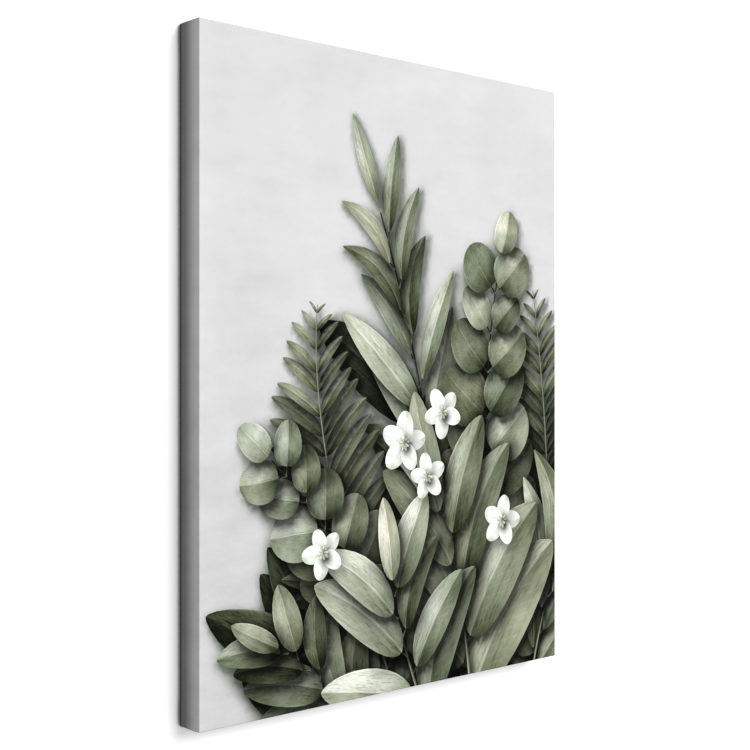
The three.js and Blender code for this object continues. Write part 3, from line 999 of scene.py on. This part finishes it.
# %% Find the shape on top of each triangle
centroid = flat[triangles].mean(1)
top = np.zeros(len(triangles), int)  # 0 is the bare sheet
for number, outline in enumerate(map(np.array, outlines), 1):
    near = np.nonzero(((centroid > outline.min(0)) & (centroid < outline.max(0))).all(1))[0]
    top[near[inside_outline(outline, centroid[near])]] = number
print("drawn share of the sheet:", round(float((top > 0).mean()), 3), "of the triangles")

# %% [markdown]
# ## Light inside the picture
#
# Leaves that lie under others are darker. Shadows could be cast by lamps on real leaves, but the
# picture is flat, so they are worked out from the outlines. Working from the top shape down, a coarse
# raster of the sheet keeps how much light still gets through to each place: a shape reads it at its
# own corners, then lays its own soft shadow onto it.

# %% A raster of the light that gets through
CELL = 0.0028
MARGIN = 0.05  # the raster goes on beyond the face, for shadows that run over its edge
SHADOW_SHIFT = np.array([-0.0040, 0.0060])  # the drawn light comes from the upper left
lowest = -(HALF + MARGIN)
cells = np.ceil(2 * (HALF + MARGIN) / CELL).astype(int)
through = np.ones(cells)
across, up = [lowest[axis] + (np.arange(cells[axis]) + 0.5) * CELL for axis in (0, 1)]
centres = np.stack(np.meshgrid(across, up, indexing="ij"), axis=-1)


def light_at(points):
    """The light that reaches points of the sheet, smoothed between the raster's cells."""
    at = np.clip((points + SHADOW_SHIFT - lowest) / CELL - 0.5, 0, cells - 1.001)
    i = at.astype(int)
    f = at - i
    value = 0
    for di in (0, 1):
        for dj in (0, 1):
            share = abs(1 - di - f[:, 0]) * abs(1 - dj - f[:, 1])
            value = value + share * through[i[:, 0] + di, i[:, 1] + dj]
    return value


print("a raster of", cells, "cells of", CELL, "m")

# %% The shadow of one shape
SHADOW = 0.36  # strength of each of a shadow's two parts
CRISP, BROAD = 0.0045, 0.0170  # and their reach
SHADOW_END = 0.036  # nothing is darkened beyond this
WIDE_LEAF = 0.034  # a leaf narrower than this throws a smaller shadow


def cast(shape, outline):
    """Darken the raster round a shape."""
    low = ((np.min(outline, axis=0) - SHADOW_END - lowest) / CELL).astype(int)
    high = ((np.max(outline, axis=0) + SHADOW_END - lowest) / CELL).astype(int) + 1
    window = tuple(slice(*np.clip(ends, 0, most)) for *ends, most in zip(low, high, cells))
    if not through[window].size:
        return
    far = shape.distance(centres[window].reshape(-1, 2)).reshape(through[window].shape)
    dark = SHADOW * np.exp(-((far / CRISP) ** 2))
    if shape.material == LEAF:
        size = min(1.0, 2 * shape.length * shape.half / WIDE_LEAF)
        dark = dark + SHADOW * np.exp(-((far / (BROAD * size)) ** 2))
        if shape.tone > 0.9 or size < 0.15:  # petals and tufts lie close to each other
            dark = dark * 0.3
    through[window] *= 1 - dark


print("under the middle of a leaf", round(1 - 2 * SHADOW, 2), "of the light is left")

# %% Values of the ink at every corner
DARKEST_LEAF, DARKEST_GROUND = 0.005, 0.05  # the least light left on each
LEAF_FALL = 2.05  # the light on a leaf falls off as this power
GROUND_FALL = (-0.05, 0.90)  # and on the ground it falls off from the second share to the first
corner_points = flat[triangles.ravel()]
corner_top = np.repeat(top, 3)
leaf_values = np.zeros((len(corner_points), 3))
form_values = np.zeros((len(corner_points), 3))
tilt_values = np.zeros(len(corner_points))
light_values = np.ones(len(corner_points))
for number in range(len(drawn), 0, -1):
    shape, outline = drawn[number - 1]
    own = np.nonzero(corner_top == number)[0]
    if len(own):
        leaf_values[own], form_values[own], tilt_values[own] = shape.values(corner_points[own])
        left = light_at(corner_points[own]) ** LEAF_FALL
        light_values[own] = DARKEST_LEAF + (1 - DARKEST_LEAF) * left
    cast(shape, outline)
own = np.nonzero(corner_top == 0)[0]
left = soft_step(light_at(corner_points[own]), *GROUND_FALL)
light_values[own] = DARKEST_GROUND + (1 - DARKEST_GROUND) * left
print("light from", light_values.min().round(2), "to", light_values.max().round(2))

# %% [markdown]
# ## Building the cloth
#
# The outer skin is the drawn sheet, folded. The inner skin is the same cross without the drawing, one
# cloth's thickness further in. A Solidify modifier could make it, but would repeat all the drawn
# triangles on the inside. The rims are bridged along the raw edge on the back, which makes the cloth
# one closed, thin sheet.

# %% Mesh of one skin
def skin_mesh(name, flat, triangles, thickness, materials, shift):
    """A folded skin, with the flat sheet as its UV map."""
    mesh = bpy.data.meshes.new(name)
    mesh.from_pydata(folded(flat, thickness).tolist(), [], triangles.tolist())
    uv = mesh.uv_layers.new(name="cloth")
    corners = flat[triangles.ravel()]
    uv.data.foreach_set("uv", (corners / UV_SPAN + shift).ravel())
    mesh.polygons.foreach_set("material_index", materials)
    print(name, "has", len(mesh.polygons), "faces")
    return mesh


def give_corners(mesh, name, kind, values):
    """An attribute with a value at every corner of every triangle."""
    layer = mesh.attributes.new(name, kind, "CORNER")
    layer.data.foreach_set("vector" if kind == "FLOAT_VECTOR" else "value", np.ravel(values))


OUTER_UV, INNER_UV = np.array([0.25, 0.5]), np.array([0.75, 0.5])  # the skins side by side on the map
unprinted = (np.abs(centroid) > PRINT_LIMIT).any(1)
kinds = np.array([GROUND] + [shape.material for shape, _ in drawn])
outer_materials = np.where(unprinted, PRIMED, kinds[top]).astype(np.int32)
outer = skin_mesh("outer_skin", flat, triangles, 0.0, outer_materials, OUTER_UV)
give_corners(outer, "leaf", "FLOAT_VECTOR", leaf_values)
give_corners(outer, "form", "FLOAT_VECTOR", form_values)
give_corners(outer, "tilt", "FLOAT", tilt_values)
give_corners(outer, "light", "FLOAT", light_values)

inner_materials = np.full(len(inner_triangles), RAW, np.int32)
inner = skin_mesh("inner_skin", inner_flat, inner_triangles[:, ::-1], CLOTH, inner_materials, INNER_UV)

# %% Weld the skins into one sheet
SHORT_LOOP = 50  # a boundary of fewer edges is a slit left by slivers, and not the raw edge


def boundary_loops(bm):
    """Boundary edges, grouped by the loop that they lie on."""
    left, loops = {edge for edge in bm.edges if edge.is_boundary}, []
    for first in bm.edges:
        reached, loop = [first] if first in left else [], []
        while reached:
            edge = reached.pop()
            if edge in left:
                left.discard(edge)
                loop.append(edge)
                reached.extend(other for vert in edge.verts for other in vert.link_edges if other in left)
        if loop:
            loops.append(loop)
    return loops


bm = bmesh.new()
bm.from_mesh(outer)
bm.from_mesh(inner)
bmesh.ops.remove_doubles(bm, verts=bm.verts, dist=1.25 * WELD)
slits = [edge for loop in boundary_loops(bm) if len(loop) < SHORT_LOOP for edge in loop]
bmesh.ops.collapse(bm, edges=slits)
bmesh.ops.dissolve_degenerate(bm, edges=bm.edges, dist=1e-7)
print("closed", len(slits), "edges of slits")

# %% Bridge the raw edge
rim = [edge for edge in bm.edges if edge.is_boundary]
bridge = bmesh.ops.bridge_loops(bm, edges=rim)["faces"]
for face in bridge:
    face.material_index = RAW
bmesh.ops.triangulate(bm, faces=[face for face in bm.faces if len(face.verts) > 4])
for face in bm.faces:
    face.smooth = True
open_edges = sum(not edge.is_manifold for edge in bm.edges)
volume = bm.calc_volume(signed=True)
cloth_mesh = bpy.data.meshes.new("canvas_cloth")
bm.to_mesh(cloth_mesh)
bm.free()
print("cloth:", len(cloth_mesh.polygons), "faces,", open_edges, "open edges,", len(rim), "rim edges,",
      round(volume * 1e6, 1), "cm3")

# %% Put the cloth on the frame
cloth = bpy.data.objects.new("canvas_cloth", cloth_mesh)
bpy.context.scene.collection.objects.link(cloth)
for material in CLOTH_FINISHES:
    cloth_mesh.materials.append(material)
cloth_mesh.set_sharp_from_angle(angle=math.radians(50))
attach(cloth, "root")
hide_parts("canvas")
print(cloth.name, "measures", [round(v, 4) for v in cloth.dimensions])

# %% [markdown]
# ## Wood
#
# Planed pine has long, slightly wavy growth lines, a few darker latewood streaks and fine pores, all
# along the bar. A wave texture gives even stripes, but each year darkens slowly and ends sharply, so
# the lines here are a saw-tooth of the place across the bar, bent by noise. One group draws them
# along X, and each material turns its own bars' length onto X.

# %% Wood grain
RINGS = 205.0  # growth lines in a metre
grain, (vector_in, pale_in, dark_in, scale_in) = new_group(
    "wood_grain",
    [("Vector", "vector", None), ("Pale", "colour", (0.7, 0.5, 0.3, 1)),
     ("Dark", "colour", (0.5, 0.3, 0.1, 1)), ("Scale", "value", 1.0)],
    [("Colour", "colour"), ("Roughness", "value"), ("Height", "value")],
)
x, y, z = grain.split(vector_in)
waver = grain.noise(grain.vector(x * 2.2, y * 14.0, z * 14.0), 1.0, 2.0)
ring = ((z * 0.83 + y * 0.56) * RINGS * scale_in + waver * 2.6).fraction()
late = ring.smooth(0.35, 0.93) * ring.smooth(1.0, 0.94)  # each year darkens slowly and ends sharply
fibre = grain.noise(grain.vector(x * 26.0, y * 1500.0, z * 1500.0), 1.0, 3.0, 0.6)
cloud = grain.noise(grain.vector(x * 5.0, y * 40.0, z * 40.0), 1.0, 3.0)
fleck = grain.noise(grain.vector(x * 90.0, y * 2600.0, z * 2600.0), 1.0, 2.0).smooth(0.62, 0.75)
amount = late * 0.62 + (fibre - 0.4) * 0.6 + (cloud - 0.5) * 0.7 + fleck * 0.25
wood_grain = close_group(
    grain,
    Colour=grain.mix(amount.at_least(0.0).at_most(1.0), pale_in, dark_in),
    Roughness=0.62 + fibre * 0.2 - late * 0.06,
    Height=fibre * 0.6 + late * 0.4,
)

# %% Pine bars and beech wedges
UPRIGHT, ASLANT = (0, math.pi / 2, 0), (0, 0.5, 0)


def wood(name, pale, dark, scale=1.0, turn=(0, 0, 0)):
    """A planed timber of two tones, with its grain turned along the piece."""
    timber = Finish(name)
    grown = {"Vector": timber.stretch(timber.place(), (1, 1, 1), turn), "Scale": scale}
    shades = {"Pale": (*pale, 1), "Dark": (*dark, 1)}
    colour, rough, height = timber.use(wood_grain, ["Colour", "Roughness", "Height"], **grown, **shades)
    timber.set(Base_Color=colour, Roughness=rough, Specular_IOR_Level=0.3)
    return timber.set(Normal=timber.bump(height, 0.0002, 0.5))


pine_across = wood("pine_across", (0.70, 0.50, 0.29), (0.50, 0.29, 0.13))
pine_upright = wood("pine_upright", (0.71, 0.51, 0.30), (0.51, 0.30, 0.14), turn=UPRIGHT)
beech = wood("beech", (0.60, 0.40, 0.24), (0.45, 0.27, 0.14), scale=4.5, turn=ASLANT)


def dress(material, *beginnings):
    """Put a finish on the nodes whose names begin in one of these ways."""
    names = [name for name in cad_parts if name.startswith(beginnings)]
    for name in names:
        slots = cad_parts[name].data.materials
        slots.clear()
        slots.append(material)
    print(material.name, "on", len(names), "nodes")


dress(pine_across, "bar_top", "bar_bottom")
dress(pine_upright, "bar_left", "bar_right")
dress(beech, "key_")

# %% [markdown]
# ## Steel
#
# The staples, the hanger and its nails are zinc-plated wire and strip: a grey, slightly mottled
# metal with fine drawing marks. A flat grey metal looks like plastic close up, so noise changes its
# colour and gloss a little, and a stretched noise gives the marks along the wire.

# %% Zinc-plated steel
zinc = Finish("zinc_plated_steel")
place = zinc.place()
spangle = zinc.noise(place, 900.0, 2.0)
scratches = zinc.noise(zinc.stretch(place, (60, 2500, 2500)), 1.0, 3.0, 0.6)
tone = zinc.mix(spangle, (0.52, 0.53, 0.55), (0.68, 0.69, 0.70))
zinc.set(Base_Color=tone, Metallic=1.0, Roughness=0.24 + spangle * 0.14 + scratches * 0.1)
dress(zinc.set(Normal=zinc.bump(scratches, 0.00002, 0.4)), "staple_", "hanger")

# %% [markdown]
# ## Stage
#
# The canvas hangs on a white wall under one large soft light from the upper right, so its shadow
# falls softly to the left and below. A small lamp would give a hard shadow. The wall is only for the
# camera: seen from behind it is clear, and it throws no light or shade back onto the object, so that
# the back can be looked at as well.

# %% Wall paint
# painted contact shadow: the wall's paint is darkened where the canvas comes close
CONTACT_SHADOW = 0.0060  # the wall is darker where something is this close to it
paint = Finish("wall_paint")
near = paint.node("ShaderNodeAmbientOcclusion", "AO", {"samples": 8}, Distance=CONTACT_SHADOW)
clear_of_contact_shadow = near.smooth(0.40, 0.92)  # 0 where the cloth touches the wall
# the painted contact shadow darkens the paint and dims its glow next to the canvas
paint.set(Base_Color=paint.mix(clear_of_contact_shadow, (0.25, 0.25, 0.25), (0.95, 0.95, 0.95)), Roughness=0.9)
paint.set(Specular_IOR_Level=0.1, Emission_Color=(1, 1, 1, 1), Emission_Strength=clear_of_contact_shadow * 0.14)
clear = paint.node("ShaderNodeBsdfTransparent", "BSDF")
behind = paint.node("ShaderNodeNewGeometry", "Backfacing")
seen = paint.node("ShaderNodeMixShader", "Shader", Fac=behind)
Field.plug(paint.tree, seen.socket.node.inputs[1], Field(paint.tree, paint.shader.outputs[0]))
Field.plug(paint.tree, seen.socket.node.inputs[2], clear)
end = next(node for node in paint.tree.nodes if node.type == "OUTPUT_MATERIAL")
Field.plug(paint.tree, end.inputs["Surface"], seen)
print(paint.material.name, "has", len(paint.tree.nodes), "nodes")

# %% Wall and floor
STAGE = 4.0  # half the width of the wall and the floor
FLOOR_Z, WALL_TOP = -1.75, 2.2
WALL_Y = cad_box[1][1] + 0.0004  # just clear of the hanger


def plane(name, corners, material):
    """A flat piece of the stage, with its corners at these places."""
    bm = bmesh.new()
    bmesh.ops.create_grid(bm, x_segments=1, y_segments=1, size=0.5)
    for corner, place in zip(sorted(bm.verts, key=lambda c: (c.co.y, c.co.x)), corners):
        corner.co = place
    mesh = bpy.data.meshes.new(name)
    bm.normal_update()
    bm.to_mesh(mesh)
    bm.free()
    made = bpy.data.objects.new(name, mesh)
    bpy.context.scene.collection.objects.link(made)
    mesh.materials.append(material)
    return made


wall_corners = [(x, WALL_Y, z) for z in (FLOOR_Z, WALL_TOP) for x in (-STAGE, STAGE)]
wall = plane("wall", wall_corners, paint.material)
wall.visible_shadow = wall.visible_diffuse = wall.visible_glossy = False

floor_finish = Finish("floor")
floor_finish.set(Base_Color=(0.88, 0.88, 0.88, 1), Roughness=0.8)
floor_finish.set(Emission_Color=(1, 1, 1, 1), Emission_Strength=0.32)
floor_corners = [(x, y, FLOOR_Z) for y in (-STAGE, STAGE) for x in (-STAGE, STAGE)]
floor = plane("floor", floor_corners, floor_finish.material)
floor.visible_diffuse = floor.visible_glossy = False
print("wall at", round(WALL_Y, 4), "and floor at", FLOOR_Z)

# %% Lights
LIT = Vector((0, 0, -0.36))  # the middle of the canvas


def area_light(name, place, size, power):
    """A large, soft light that looks at the middle of the canvas."""
    data = bpy.data.lights.new(name, "AREA")
    data.shape, data.size, data.size_y, data.energy = "RECTANGLE", size[0], size[1], power
    light = bpy.data.objects.new(name, data)
    bpy.context.scene.collection.objects.link(light)
    light.location = place
    light.rotation_euler = (LIT - light.location).to_track_quat("-Z", "Y").to_euler()
    light.visible_camera = False
    print(name, "light of", power, "W at", place)


area_light("key", (2.05, -6.8, 3.1), (5.2, 4.6), 610)
area_light("back_fill", (-1.2, 2.6, 0.8), (2.2, 1.6), 26)

# %% World
AMBIENT, BACKDROP = 0.66, 1.05  # the world's strength as a light, and as the camera sees it
world = bpy.data.worlds.new("studio")
bpy.context.scene.world = world
world.use_nodes = True
studio = Tree(world.node_tree)
to_camera = studio.node("ShaderNodeLightPath", "Is Camera Ray")
strength = studio.node("ShaderNodeMapRange", "Result", Value=to_camera, To_Min=AMBIENT, To_Max=BACKDROP)
background = next(node for node in world.node_tree.nodes if node.type == "BACKGROUND")
background.inputs["Color"].default_value = (1, 1, 1, 1)
Field.plug(world.node_tree, background.inputs["Strength"], strength)
bpy.context.scene.view_settings.view_transform = "Standard"
print("world strength:", AMBIENT, "as a light and", BACKDROP, "to the camera")
